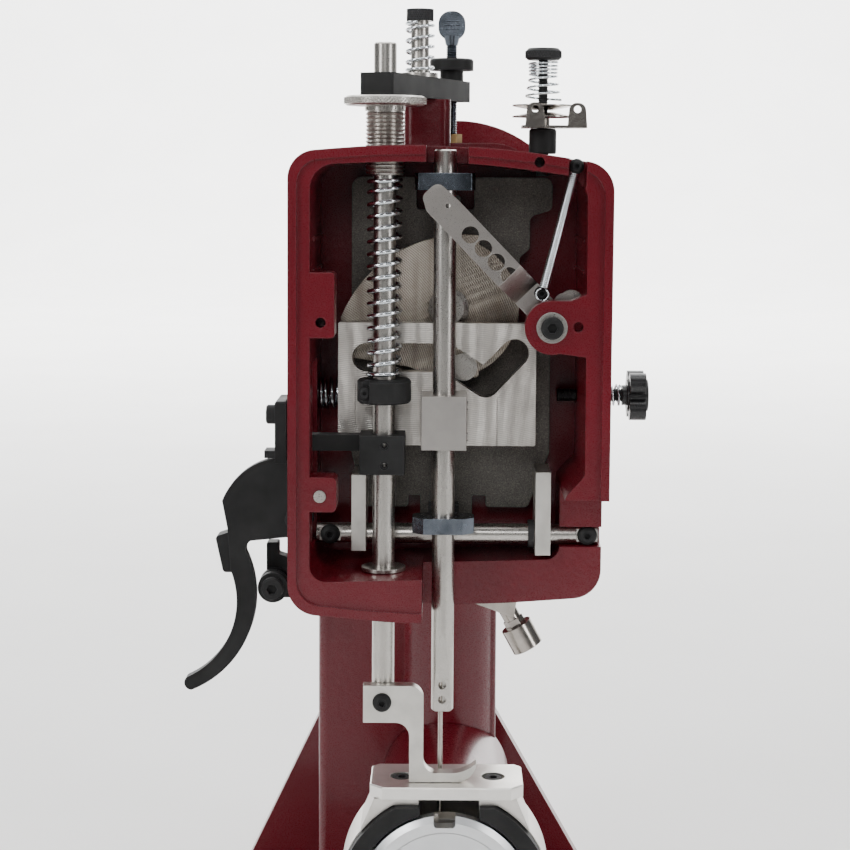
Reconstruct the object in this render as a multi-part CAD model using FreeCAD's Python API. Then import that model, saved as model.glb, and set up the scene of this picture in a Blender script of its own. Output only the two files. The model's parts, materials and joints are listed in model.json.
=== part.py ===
import FreeCAD, Part
import math
import os

# Hand-operated cylinder-arm leather stitcher, face cover off.  Millimetres.
# X runs to the right, Y runs back from the operator and Z runs up.
# The origin lies under the needle, on the underside of the base.

os.makedirs("parts", exist_ok=True)

V = FreeCAD.Vector
AX = V(1, 0, 0)
AY = V(0, 1, 0)
AZ = V(0, 0, 1)

# ---- driving dimensions -------------------------------------------------
RUN = 0.05                      # radial running clearance
PLATE_Z = 184.5                 # top of the needle plate, the sewing surface
PLATE_SCREWS = (-22.9, 29.6)
BAR_R = 6.35                    # half-inch needle and presser bars
PRESS_X = -34.0                 # presser bar axis
NEEDLE_X = -1.0                 # needle sits just off the bar axis
FRONT_Y = -30.0                 # front rim of the head
LIP = 2.0                       # step that the face cover drops into
BACK_Y = 68.0                   # back of the head casting
CAVITY_Y = 60.0
SETBACK_Y = 19.0                # lower right front of the head
HEAD_L = -86.4
HEAD_R = 92.8
SHAFT_X = 2.2
SHAFT_Z = 452.9                 # main shaft height
SHAFT_R = 9.0
CRANK_DX = 8.9
CRANK_DZ = -34.2
LOWER_Z = 120.0                 # lower shaft height
LOWER_R = 8.0
UPRIGHT_Y = 225.0               # vertical shaft inside the column
LEVER_Y = 274.0                 # hand lever shaft
LEVER_LEN = 235.0
PIVOT_X = 59.4                  # take-up pivot
PIVOT_Z = 446.6
LIFT_X = -86.0                  # lifter pivot
LIFT_Z = 331.0
LIFT_R0 = 34.5                  # lifter cam radius straight above the pivot
LIFT_RATE = 6.8                 # cam rise in mm per radian
CAM_Y = 16.5                    # front face of the slotted cam plate
CAM_T = 10.0
DISC_Y = 30.0                   # front face of the drive cam
CRADLE_Y = 46.0                 # front face of the feed cradle
CRADLE_T = 8.0
ROD_Y = 28.0
ROD_Z = 320.8
ROD_R = 5.8
ROD_SCREWS = (-66.0, 84.0)
KNOB_Y = 50.0
KNOB_Z = 400.2
TENSION_X = 55.0
TENSION_Y = 10.0
THUMB_X = 3.2
THUMB_Y = 90.0
MITRE_R = 20.0                  # bevel gears at the ends of the upright shaft
PINION_R = 14.0
SECTOR_R = 33.6                 # hand lever gear, 2.4 times the pinion
ARM_R = 61.0                    # cylinder arm end
TUBE_R = 43.0                   # cylinder arm behind its end
BASE_T = 20.0
ARM_TOP = 549.4               # top of the upper arm, level with the head
BASE = (-150.0, 114.0, -50.0, 325.0)


# ---- helpers ------------------------------------------------------------
def box(x0, x1, y0, y1, z0, z1):
    return Part.makeBox(x1 - x0, y1 - y0, z1 - z0, V(x0, y0, z0))


def rod(r, start, axis, length):
    return Part.makeCylinder(r, length, V(*start), axis)


def ring(r_out, r_in, start, axis, length):
    return rod(r_out, start, axis, length).cut(rod(r_in, start, axis, length))


def cone(r0, r1, start, axis, length):
    return Part.makeCone(r0, r1, length, V(*start), axis)


def rounded(points, to3d):
    """Closed wire through corners (u, v, radius), each rounded by its radius."""
    edges = []
    ends = []
    count = len(points)
    for i, (u, v, r) in enumerate(points):
        here = V(u, v, 0)
        before = V(points[i - 1][0], points[i - 1][1], 0) - here
        after = V(points[(i + 1) % count][0], points[(i + 1) % count][1], 0) - here
        before.normalize()
        after.normalize()
        if r == 0:
            ends.append((here, None, here))
            continue
        half = before.getAngle(after) / 2
        mid_dir = before + after
        mid_dir.normalize()
        centre = here + mid_dir * (r / math.sin(half))
        start = here + before * (r / math.tan(half))
        stop = here + after * (r / math.tan(half))
        ends.append((start, centre - mid_dir * r, stop))
    for i, (start, mid, stop) in enumerate(ends):
        if mid is not None:
            edges.append(Part.Arc(to3d(start), to3d(mid), to3d(stop)).toShape())
        following = ends[(i + 1) % count][0]
        if (following - stop).Length > 1e-6:
            edges.append(Part.LineSegment(to3d(stop), to3d(following)).toShape())
    return Part.Wire(edges)


def slab_y(points, y0, y1):
    """Plate parallel to the front, from corners (x, z, radius)."""
    wire = rounded(points, lambda p: V(p.x, y0, p.y))
    return Part.Face(wire).extrude(V(0, y1 - y0, 0))


def slab_z(points, z0, z1):
    """Flat plate, from corners (x, y, radius)."""
    wire = rounded(points, lambda p: V(p.x, p.y, z0))
    return Part.Face(wire).extrude(V(0, 0, z1 - z0))


def oblong_z(x, y, half_x, half_y, r, z0, z1):
    corners = [(x - half_x, y - half_y, r), (x + half_x, y - half_y, r),
               (x + half_x, y + half_y, r), (x - half_x, y + half_y, r)]
    return slab_z(corners, z0, z1)


def lathe(profile, x, y, z, axis):
    """Solid of revolution from (radius, height) corners about an axis."""
    pts = [V(r, 0, h) for r, h in profile]
    face = Part.Face(Part.makePolygon(pts + [pts[0]]))
    solid = face.revolve(V(0, 0, 0), AZ, 360)
    solid.Placement = FreeCAD.Placement(V(x, y, z), FreeCAD.Rotation(AZ, axis))
    return solid


def threaded(r, pitch, length, x, y, z, axis):
    """Screw thread as evenly spaced V grooves."""
    depth = pitch * 0.45
    profile = [(0, 0), (r - depth, 0)]
    turns = int(length / pitch)
    for i in range(turns):
        profile.append((r, (i + 0.5) * pitch))
        profile.append((r - depth, (i + 1) * pitch))
    profile.append((r - depth, length))
    profile.append((0, length))
    return lathe(profile, x, y, z, axis)


def helix_spring(r, wire, pitch, turns, x, y, z):
    """Open coil spring standing on z, wound about the Z direction."""
    path = Part.makeHelix(pitch, pitch * turns, r)
    section = Part.Wire(Part.makeCircle(wire / 2, V(r, 0, 0), V(0, 1, 0)))
    coil = Part.Wire(path.Edges).makePipeShell([section], True, True)
    coil.translate(V(x, y, z + wire / 2))
    return coil


def cap_screw(r, head_h, shank_r, shank_l, x, y, z, axis):
    """Socket cap screw; the head stands on the point, along the axis."""
    head = lathe([(0, 0), (r, 0), (r, head_h * 0.85), (r - head_h * 0.15, head_h), (0, head_h)],
                 x, y, z, axis)
    socket = hex_prism(r * 0.48, head_h * 0.6, x, y, z, axis, head_h * 0.5)
    shank = rod(shank_r, (x, y, z), axis * -1, shank_l)
    return head.cut(socket).fuse(shank)


def button_screw(r, head_h, shank_r, shank_l, x, y, z, axis):
    head = lathe([(0, 0), (r, 0), (r * 0.97, head_h * 0.35), (r * 0.82, head_h * 0.75),
                  (r * 0.55, head_h), (0, head_h)], x, y, z, axis)
    socket = hex_prism(r * 0.36, head_h, x, y, z, axis, head_h * 0.45)
    shank = rod(shank_r, (x, y, z), axis * -1, shank_l)
    return head.cut(socket).fuse(shank)


def hex_prism(r, length, x, y, z, axis, lift=0.0):
    pts = [V(r * math.cos(math.radians(60 * i)), r * math.sin(math.radians(60 * i)), lift)
           for i in range(7)]
    solid = Part.Face(Part.makePolygon(pts)).extrude(V(0, 0, length))
    solid.Placement = FreeCAD.Placement(V(x, y, z), FreeCAD.Rotation(AZ, axis))
    return solid


def set_screw(r, length, x, y, z, axis):
    """Headless socket screw whose outer end is at the point."""
    body = rod(r, (x, y, z), axis * -1, length)
    return body.cut(hex_prism(r * 0.55, length * 0.6, x, y, z, axis, -length * 0.5))


def fuse(shapes):
    first = shapes[0]
    return first.multiFuse(shapes[1:]).removeSplitter() if len(shapes) > 1 else first


def bevel_gear(r_big, face, slope, teeth, x, y, z, axis):
    """Bevel gear, big end on the point, narrowing along the axis."""
    blank = cone(r_big, r_big - face * slope, (0, 0, 0), AZ, face)
    gap_w = math.pi * r_big / teeth * 0.9
    lean = math.degrees(math.atan(slope))
    for i in range(teeth):
        gap = Part.makeBox(4.0, gap_w, face * 2.2, V(-1.6, -gap_w / 2, -face * 0.4))
        gap.rotate(V(0, 0, 0), AY, -lean)
        gap.translate(V(r_big, 0, 0))
        gap.rotate(V(0, 0, 0), AZ, 360.0 * i / teeth)
        blank = blank.cut(gap)
    blank.Placement = FreeCAD.Placement(V(x, y, z), FreeCAD.Rotation(AZ, axis))
    return blank


# ---- base, column and arms ----------------------------------------------
def base_plate():
    x0, x1, y0, y1 = BASE
    plate = slab_z([(x0, y0, 18), (x1, y0, 18), (x1, y1, 18), (x0, y1, 18)], 0, BASE_T)
    plate = plate.makeFillet(3.0, [e for e in plate.Edges if e.BoundBox.ZMin > BASE_T - 0.1])
    for hx in (-133.5, 96.5):
        for hy in (-15.0, 285.0):
            plate = plate.cut(rod(5.5, (hx, hy, -1), AZ, BASE_T + 2))
    return plate


def frame_casting():
    col_l, col_r = -84.7, 36.0
    column = slab_z([(col_l, 190, 6), (col_r, 190, 4), (col_r, 300, 20), (col_l, 300, 20)],
                    BASE_T, 440)
    nose = rod(33.0, (3.0, 205.0, BASE_T), AZ, 400)
    arm = slab_y([(-50, 396, 22), (58, 396, 22), (58, ARM_TOP, 30), (-50, ARM_TOP, 30)], BACK_Y, 235)
    dome = rod(85.0, (7.0, 225.0, 482.0), AY, 95.0)
    dome_band = rod(87.0, (7.0, 300.0, 482.0), AY, 8.0)
    ribs = [slab_y([(-149, BASE_T, 2), (-80, BASE_T, 2), (-80, 165, 2), (-87, 150, 30)], 236, 252),
            slab_y([(30, BASE_T, 2), (112, BASE_T, 2), (38, 150, 30), (30, 165, 2)], 236, 252)]
    foot = slab_z([(-100, 176, 14), (52, 176, 14), (52, 312, 14), (-100, 312, 14)],
                  BASE_T, BASE_T + 12)
    body = fuse([column, nose, arm, dome, dome_band, foot] + ribs)
    hollow = [slab_z([(col_l + 9, 204, 8), (col_r - 9, 204, 8), (col_r - 9, 290, 12),
                      (col_l + 9, 290, 12)], BASE_T - 1, 430),
              box(-40, 27, 204, 250, 425, 460),
              rod(76.0, (7.0, 234.0, 482.0), AY, 90.0),
              slab_y([(-41, 405, 14), (49, 405, 14), (49, 537, 20), (-41, 537, 20)], 78, 188),
              slab_y([(-41, 405, 14), (49, 405, 14), (49, 537, 20), (-41, 537, 20)], 200, 240),
              rod(14.0, (SHAFT_X, 60, SHAFT_Z), AY, 150),
              rod(TUBE_R, (SHAFT_X, 100, LOWER_Z), AY, 97),
              rod(14.0, (SHAFT_X, 190, LOWER_Z), AY, 30)]
    for tool in hollow:
        body = body.cut(tool)
    lever_boss = rod(20.0, (76.0, LEVER_Y, SHAFT_Z), AX, 13.0)
    lever_boss = lever_boss.cut(rod(76.0, (7.0, 234.0, 482.0), AY, 90.0))
    steps = [box(-76, 28, 203, 247, 150, 158), box(-76, 28, 203, 247, 400, 408)]
    body = fuse([body, lever_boss] + steps)
    bores = [rod(11.0, (60, LEVER_Y, SHAFT_Z), AX, 60),
             rod(11.0, (SHAFT_X, UPRIGHT_Y, 140), AZ, 280),
             rod(3.6, (THUMB_X, THUMB_Y, 530), AZ, 30)]
    for tool in bores:
        body = body.cut(tool)
    return body


def rear_cover():
    """Lid that closes the round gear housing at the back."""
    lid = rod(84.0, (7.0, 320.0, 482.0), AY, 4.0)
    spigot = ring(75.6, 66.0, (7.0, 312.0, 482.0), AY, 8.0)
    crown = rod(60.0, (7.0, 324.0, 482.0), AY, 2.0)
    heads = []
    for i in range(6):
        a = math.radians(60 * i + 30)
        heads.append(cone(4.2, 3.0, (7.0 + 74.0 * math.cos(a), 324.0, 482.0 + 74.0 * math.sin(a)),
                          AY, 2.6))
    return fuse([lid, spigot, crown] + heads)


def cylinder_arm():
    tube = ring(TUBE_R, TUBE_R - 10, (SHAFT_X, 30, LOWER_Z), AY, 167.0)
    web = rod(TUBE_R - 10, (SHAFT_X, 30, LOWER_Z), AY, 10.0)
    rear = rod(TUBE_R - 10, (SHAFT_X, 185, LOWER_Z), AY, 12.0)
    body = fuse([tube, web, rear])
    return body.cut(rod(13.0, (SHAFT_X, 20, LOWER_Z), AY, 190))


def arm_end_casing():
    top = PLATE_Z - 7.1
    round_end = rod(ARM_R, (SHAFT_X, -14, LOWER_Z), AY, 44.0)
    shoulders = slab_y([(-52, 130, 4), (56.4, 130, 4), (50.0, 160, 10), (41, top + 4, 2),
                        (-36.6, top + 4, 2), (-45.6, 160, 10)], -19, 20)
    body = fuse([round_end, shoulders])
    ring_seat = rod(ARM_R + 0.3, (SHAFT_X, -20, LOWER_Z), AY, 6.0)
    tools = [box(-80, 90, -40, 40, top, 200), rod(51.0, (SHAFT_X, -20, LOWER_Z), AY, 34.0),
             ring_seat.common(box(-80, 90, -30, 0, 40, 173.7)), box(-13, 21.5, -20, 14, 150, 180),
             rod(13.0, (SHAFT_X, 0, LOWER_Z), AY, 60)]
    tools += [rod(3.0, (x, 0, 165), AZ, 20) for x in PLATE_SCREWS]
    for tool in tools:
        body = body.cut(tool)
    return body


def race_ring():
    body = ring(60.5, 51.0, (SHAFT_X, -24, LOWER_Z), AY, 9.8)
    body = body.cut(box(-70, 80, -30, 0, 173.5, 200))
    return body.cut(box(-12.2, 21.6, -30, 0, 150, 180))


def bobbin_cover():
    disc = lathe([(0, 0), (49.4, 0), (49.4, 6), (46, 9), (40.5, 9), (39.5, 8), (0, 8)],
                 SHAFT_X, -17.0, LOWER_Z, AY * -1)
    notch = slab_y([(-4.3, 163, 2), (8.0, 163, 2), (8.0, 180, 0), (-4.3, 180, 0)], -40, 0)
    spindle = rod(3.9, (SHAFT_X, -17.0, LOWER_Z), AY, 12.0)
    return fuse([disc.cut(notch), spindle])


def shuttle_hook():
    rim = ring(44.0, 36.0, (SHAFT_X, -13, LOWER_Z), AY, 9.0)
    gap = box(SHAFT_X - 22, SHAFT_X - 4, -20, 0, LOWER_Z + 30, LOWER_Z + 50)
    back = ring(44.0, LOWER_R, (SHAFT_X, -4, LOWER_Z), AY, 2.5)
    point = slab_y([(SHAFT_X - 4, LOWER_Z + 36, 0), (SHAFT_X + 4, LOWER_Z + 36, 0),
                    (SHAFT_X + 4, LOWER_Z + 43.8, 0), (SHAFT_X - 10, LOWER_Z + 41, 0)], -13, -4)
    return fuse([rim.cut(gap), back.cut(rod(4.0, (SHAFT_X - 20, -9, LOWER_Z), AY, 20)), point])


def bobbin():
    core = ring(9.0, 4.0, (SHAFT_X, -13, LOWER_Z), AY, 8.6)
    front = ring(30.0, 4.0, (SHAFT_X, -14, LOWER_Z), AY, 1.2)
    back = ring(30.0, 4.0, (SHAFT_X, -5.6, LOWER_Z), AY, 1.2)
    return fuse([core, front, back])


def needle_plate():
    c = 7.0
    x0, x1, y0, y1 = -40.8, 46.5, -21.0, 22.0
    outline = [(x0 + c, y0, 1), (x1 - c, y0, 1), (x1, y0 + c, 1), (x1, y1 - 4, 1), (x1 - 4, y1, 1),
               (x0 + 4, y1, 1), (x0, y1 - 4, 1), (x0, y0 + c, 1)]
    plate = slab_z(outline, PLATE_Z - 7, PLATE_Z)
    plate = plate.makeChamfer(0.6, [e for e in plate.Edges if e.BoundBox.ZMin > PLATE_Z - 0.1])
    for x in PLATE_SCREWS:
        plate = plate.cut(rod(3.2, (x, 0, PLATE_Z - 8), AZ, 10))
        plate = plate.cut(rod(6.8, (x, 0, PLATE_Z - 4), AZ, 6))
    return plate.cut(oblong_z(NEEDLE_X, 0, 5.3, 3.0, 2.6, PLATE_Z - 8, PLATE_Z + 1))


def plate_screws():
    return [cap_screw(5.6, 3.6, 3.0, 10.0, x, 0, PLATE_Z - 4, AZ) for x in PLATE_SCREWS]


# ---- head casting --------------------------------------------------------
def head_outline(inset):
    return [(HEAD_L + inset, 286.8 + inset, 17 - inset / 2), (0, 278.6 + inset, 600),
            (HEAD_R - 1 + inset * -1, 285.6 + inset, 17 - inset / 2),
            (HEAD_R - inset, 536.0 - inset, 17 - inset / 2), (3, 550.0 - inset, 500),
            (HEAD_L + inset, 542.4 - inset, 16 - inset / 2)]


def cavity_outline():
    return [(-74.2, 303.5, 9), (67.5, 307.5, 8), (67.5, 352, 6), (78.4, 364, 6), (78.4, 529.0, 14),
            (3, 539.0, 500), (-74.2, 535.5, 14)]


def head_housing():
    shell = slab_y(head_outline(0), FRONT_Y, BACK_Y)
    shell = shell.cut(slab_y(cavity_outline(), FRONT_Y - 1, CAVITY_Y))
    shell = shell.cut(slab_y(head_outline(5.0), FRONT_Y - 1, FRONT_Y + LIP))
    shell = shell.cut(box(-11.6, 120, FRONT_Y - 1, SETBACK_Y, 250, 350.5))
    side_pocket = box(HEAD_L - 1, -80.0, -14, 58, 250, 432)
    window = box(-90, -70, -8, 31, 317.5, 424)
    shell = shell.cut(side_pocket).cut(window)
    groove = [rod(ROD_R + RUN, (-73, ROD_Y, ROD_Z), AX, 180),
              box(66, 100, 10, ROD_Y, ROD_Z - ROD_R - RUN, ROD_Z + ROD_R + RUN)]
    front = FRONT_Y + LIP
    ear_t = 10.0
    lugs = [slab_y([(-76, 440, 0), (-60.6, 440, 2), (-60.6, 476.4, 2), (-76, 476.4, 0)], front, -10),
            slab_y([(-76, 343, 0), (-59.3, 343, 3), (-59.3, 362.5, 3), (-76, 362.5, 0)], front, -10),
            rod(15.0, (PIVOT_X, front, PIVOT_Z), AY, ear_t),
            slab_y([(58, 433, 0), (80, 430, 0), (80, 466, 0), (70, 461.5, 0), (58, 461.5, 0)],
                   front, front + ear_t)]
    ribs = [box(x0, x0 + 1.8, -8, CAVITY_Y, z, z + 2) for x0 in (-75, 77.4) for z in (475, 493)]
    shell = fuse([shell] + lugs + ribs)
    post = oblong_z(-10.9, 56, 13.7, 12, 6, 540, 574.5)
    lever_lug = slab_y([(-95, 318, 5), (-79, 318, 0), (-79, 346, 0), (-95, 346, 5)], 31, 46)
    shell = fuse([shell, post, lever_lug])
    holes = [rod(2.8, (-68.3, front - 1, 448.6), AY, 14), rod(2.8, (51.6, FRONT_Y, 537.6), AY, 15),
             rod(2.8, (73.9, front - 1, 447.1), AY, 13), rod(3.4, (-68.6, front, 351.9), AY, 12),
             rod(8.6, (PIVOT_X, front - 1, PIVOT_Z), AY, 20),
             rod(11.2, (PRESS_X, 0, 525), AZ, 40), rod(9.0, (PRESS_X, 0, 270), AZ, 40),
             rod(14.0, (SHAFT_X, 50, SHAFT_Z), AY, 30),
             rod(3.55, (TENSION_X, TENSION_Y, 520), AZ, 40),
             rod(9.5, (TENSION_X, TENSION_Y, 542.5), AZ, 10),
             rod(5.0, (60, KNOB_Y, KNOB_Z), AX, 40),
             rod(4.2, (LIFT_X, 20, LIFT_Z), AY, 40)]
    notches = [box(-10.6, 12.7, FRONT_Y - 1, 9, 520, 560),
               slab_y([(67.6, 522, 4), (77.6, 522, 4), (77.6, 542, 4), (67.6, 542, 4)],
                      FRONT_Y - 1, -12)]
    for tool in holes + notches + groove:
        shell = shell.cut(tool)
    return shell


# ---- main drive ----------------------------------------------------------
def main_shaft():
    """Shaft, its clamp flange in front and its two bevel gears."""
    shaft = rod(SHAFT_R, (SHAFT_X, DISC_Y + 12, SHAFT_Z), AY, 242.0 - DISC_Y - 12)
    hub = lathe([(0, 0), (11.7, 0), (11.7, 1.5), (9, 2.6), (0, 2.6)],
                SHAFT_X, DISC_Y, SHAFT_Z, AY * -1)
    hub = hub.cut(rod(1.6, (SHAFT_X + 5.5, 20, SHAFT_Z + 5), AY, 8.6))
    mitre = bevel_gear(MITRE_R - 0.5, 10.0, 1.0, 24, SHAFT_X, UPRIGHT_Y - MITRE_R, SHAFT_Z, AY)
    pinion = bevel_gear(PINION_R - 0.4, 7.6, PINION_R / SECTOR_R, 14,
                        SHAFT_X, LEVER_Y - SECTOR_R, SHAFT_Z, AY)
    return [shaft, hub, mitre.cut(shaft), pinion.cut(shaft)]


def lower_shaft():
    shaft = rod(LOWER_R, (SHAFT_X, -4, LOWER_Z), AY, 219.0)
    mitre = bevel_gear(MITRE_R - 0.5, 10.0, 1.0, 24, SHAFT_X, UPRIGHT_Y - MITRE_R, LOWER_Z, AY)
    return [shaft, mitre.cut(shaft)]


def upright_shaft():
    shaft = rod(7.0, (SHAFT_X, UPRIGHT_Y, LOWER_Z + 10), AZ, SHAFT_Z - LOWER_Z - 20.4)
    top = bevel_gear(MITRE_R - 0.5, 9.6, 1.0, 24, SHAFT_X, UPRIGHT_Y, SHAFT_Z - MITRE_R, AZ)
    low = bevel_gear(MITRE_R - 0.5, 9.6, 1.0, 24, SHAFT_X, UPRIGHT_Y, LOWER_Z + MITRE_R, AZ * -1)
    return [shaft, top.cut(shaft), low.cut(shaft)]


def drive_cam():
    disc = rod(41.0, (SHAFT_X, DISC_Y, SHAFT_Z), AY, 12)
    pin_x = SHAFT_X + CRANK_DX
    pin_z = SHAFT_Z + CRANK_DZ
    lobe = rod(77.0, (pin_x, DISC_Y, pin_z), AY, 12)
    limit = slab_y([(-62, 425, 6), (20, 412, 2), (20, 500, 2), (-62, 500, 2)], DISC_Y, DISC_Y + 12)
    lobe = lobe.common(limit).common(rod(63.0, (SHAFT_X, DISC_Y, SHAFT_Z), AY, 12))
    body = fuse([disc, lobe])
    return body.cut(rod(6.0, (pin_x, DISC_Y - 1, pin_z), AY, 14))


def crank_pin():
    pin = rod(6.0, (SHAFT_X + CRANK_DX, CAM_Y + CAM_T + 0.4, SHAFT_Z + CRANK_DZ), AY, 15.1)
    roller = ring(8.0, 6.0, (SHAFT_X + CRANK_DX, CAM_Y + CAM_T + 0.6, SHAFT_Z + CRANK_DZ), AY, 2.7)
    return [pin, roller]


def cam_plate():
    x0, x1, z0, z1 = -61.2, 53.0, 374.2, 445.3
    plate = slab_y([(x0, z0, 1), (x1, z0, 1), (x1, z1, 1), (x0, z1, 1)], CAM_Y, CAM_Y + CAM_T)
    path = [(-44.8, 425.2), (1.0, 425.2), (23.9, 410.6), (40.5, 428.0)]
    r = 8.2
    for (xa, za), (xb, zb) in zip(path, path[1:]):
        run = math.hypot(xb - xa, zb - za)
        leg = box(0, run, CAM_Y - 1, CAM_Y + CAM_T + 1, -r, r)
        leg.rotate(V(0, 0, 0), AY, -math.degrees(math.atan2(zb - za, xb - xa)))
        leg.translate(V(xa, 0, za))
        plate = plate.cut(leg)
    for x, z in path:
        plate = plate.cut(rod(r, (x, CAM_Y - 1, z), AY, CAM_T + 2))
    lines = [(-51.3, 374, 410), (30.5, 374, 402)]
    for x, za, zb in lines:
        plate = plate.cut(box(x, x + 0.35, CAM_Y - 0.1, CAM_Y + 0.25, za, zb))
    return plate


def needle_bar():
    z0, z1 = 223.5, 544.6
    bar = lathe([(0, 0), (BAR_R - 1, 0), (BAR_R, 1), (BAR_R, z1 - z0 - 0.8),
                 (BAR_R - 0.8, z1 - z0), (0, z1 - z0)], 0, 0, z0, AZ)
    wedge = box(-10, 10, -12, 0, -60, 0)
    wedge.rotate(V(0, 0, 0), AX, 3.6)
    wedge.translate(V(0, -BAR_R - 0.02, 268))
    bar = bar.cut(wedge)
    for z in (238.9, 230.4):
        bar = bar.cut(rod(2.3, (0, -12, z), AY, 11))
    return bar.cut(rod(1.35, (NEEDLE_X, 0, 220), AZ, 26))


def needle():
    z_tip = 152.4
    blade = lathe([(0, 0), (0.5, 2.5), (1.3, 8), (1.3, 93.4), (0, 93.4)],
                  NEEDLE_X, 0, z_tip, AZ)
    return blade.cut(box(NEEDLE_X - 0.45, NEEDLE_X + 0.45, -3, 3, z_tip + 5, z_tip + 8))


def clamp_block():
    block = slab_z([(-12.8, -13, 0.8), (12.8, -13, 0.8), (12.8, CAM_Y, 0.4), (-12.8, CAM_Y, 0.4)],
                   375.8, 406.2)
    return block.cut(rod(BAR_R, (0, 0, 370), AZ, 40))


def bar_guide(z0, z1, front_half, side_half):
    """Forked guide: a nose round the needle bar on a neck from the cradle."""
    nose = slab_z([(-side_half, -5, 2), (-front_half, -11, 1), (front_half, -11, 1),
                   (side_half, -5, 2), (side_half, 9, 6), (-side_half, 9, 6)], z0, z1)
    neck = box(-9, 9, 6, CRADLE_Y, z0, z1)
    body = fuse([nose, neck])
    return body.cut(rod(BAR_R + RUN, (0, 0, z0 - 1), AZ, z1 - z0 + 2))


# ---- feed ------------------------------------------------------------------
def feed_cradle():
    plate = slab_y([(-55, 366, 3), (-47, 333, 3), (-21, 333, 2), (-21, 340, 1), (-14, 340, 1),
                    (-14, 328, 2), (17, 328, 2), (17, 340, 1), (25, 340, 1), (25, 333, 2),
                    (50, 333, 3), (62.6, 366, 3), (62.6, 428, 6), (52, 434, 3), (44, 440, 3),
                    (44, 482, 4), (50, 487, 4), (50, 506, 4), (63, 510, 4), (63, 529, 5),
                    (17, 529, 2), (17, 510, 2), (9, 510, 2), (9, 518, 1), (-9, 518, 1),
                    (-9, 510, 2), (-17, 510, 2), (-17, 529, 2), (-55, 529, 6)],
                   CRADLE_Y, CRADLE_Y + CRADLE_T)
    return plate.cut(rod(19.0, (SHAFT_X, CRADLE_Y - 1, SHAFT_Z), AY, 12))


def side_bar(x0, x1, z0, z1):
    bar = box(x0, x1, 13.0, CRADLE_Y, z0, z1)
    return bar.cut(rod(ROD_R + RUN, (x0 - 1, ROD_Y, ROD_Z), AX, x1 - x0 + 2))


def feed_rod():
    body = rod(ROD_R, (-74.0, ROD_Y, ROD_Z), AX, 164.4)
    for x in ROD_SCREWS:
        body = body.cut(rod(2.6, (x, 10, ROD_Z), AY, 40))
        body = body.cut(box(x - 6.2, x + 6.2, 10, ROD_Y - 4.4, ROD_Z - 7, ROD_Z + 7))
    return body


def head_screws():
    """Black socket screws fixed in the head: rod ends, take-up pivot and spring anchor."""
    screws = [button_screw(5.8, 3.6, 2.5, 9.0, x, ROD_Y - 4.4, ROD_Z, AY * -1) for x in ROD_SCREWS]
    screws.append(take_up_pivot())
    screws.append(button_screw(4.2, 4.0, 2.2, 7.5, 72.6, -19.5, 535.6, AY * -1))
    return screws


def feed_bumper():
    return ring(8.2, ROD_R + RUN, (49.5, ROD_Y, ROD_Z), AX, 3.6)


# ---- presser bar ------------------------------------------------------------
def presser_bar():
    z0, z1 = 217.5, 604.0
    bar = lathe([(0, 0), (BAR_R, 0), (BAR_R, z1 - z0 - 0.8), (BAR_R - 0.8, z1 - z0), (0, z1 - z0)],
                PRESS_X, 0, z0, AZ)
    return bar.cut(box(PRESS_X - 10, PRESS_X + 10, -10, -4, 210, 240.8))


def presser_collar():
    body = lathe([(BAR_R, 0), (14, 0), (15.3, 1.3), (15.3, 12.4), (14, 13.7), (BAR_R, 13.7)],
                 PRESS_X, 0, 401.2, AZ)
    flat = box(PRESS_X - 17, PRESS_X - 8, -20, -9.6, 398, 418)
    return body.cut(flat)


def collar_screw():
    return button_screw(4.0, 2.6, 2.0, 3.0, PRESS_X - 10.6, -9.6, 407.6, AY * -1)


def lift_bracket():
    block = slab_z([(-47.6, -12, 0.8), (-22, -12, 0.8), (-22, 12, 0.8), (-47.6, 12, 0.8)],
                   361.5, 383.6)
    arm = box(-89.0, -47.0, -4.5, 4.5, 374, 383.2)
    body = fuse([block, arm])
    body = body.cut(rod(BAR_R, (PRESS_X, 0, 350), AZ, 40))
    for z in (377.9, 366.7):
        body = body.cut(rod(2.6, (-33.4, -13, z), AY, 7.5))
    return body


def presser_screws():
    screws = [ring(2.6, 1.5, (-33.4, -11.4, z), AY, 4.6) for z in (377.9, 366.7)]
    return screws + [collar_screw(), foot_screw(), strap_screw()]


def slide_strap():
    plate = box(-95.6, -89.0, -6, 28, 366.6, 402)
    ledge = box(-103.6, -89.0, 14, 28, 366.6, 370.8)
    body = fuse([plate, ledge])
    body = body.makeChamfer(0.8, [e for e in body.Edges if e.BoundBox.ZMin > 401.9])
    return body.cut(rod(2.5, (-97, 0, 394), AX, 10))


def strap_screw():
    return cap_screw(5.5, 5.2, 2.5, 6.6, -95.6, 0, 394, AX * -1)


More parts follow.
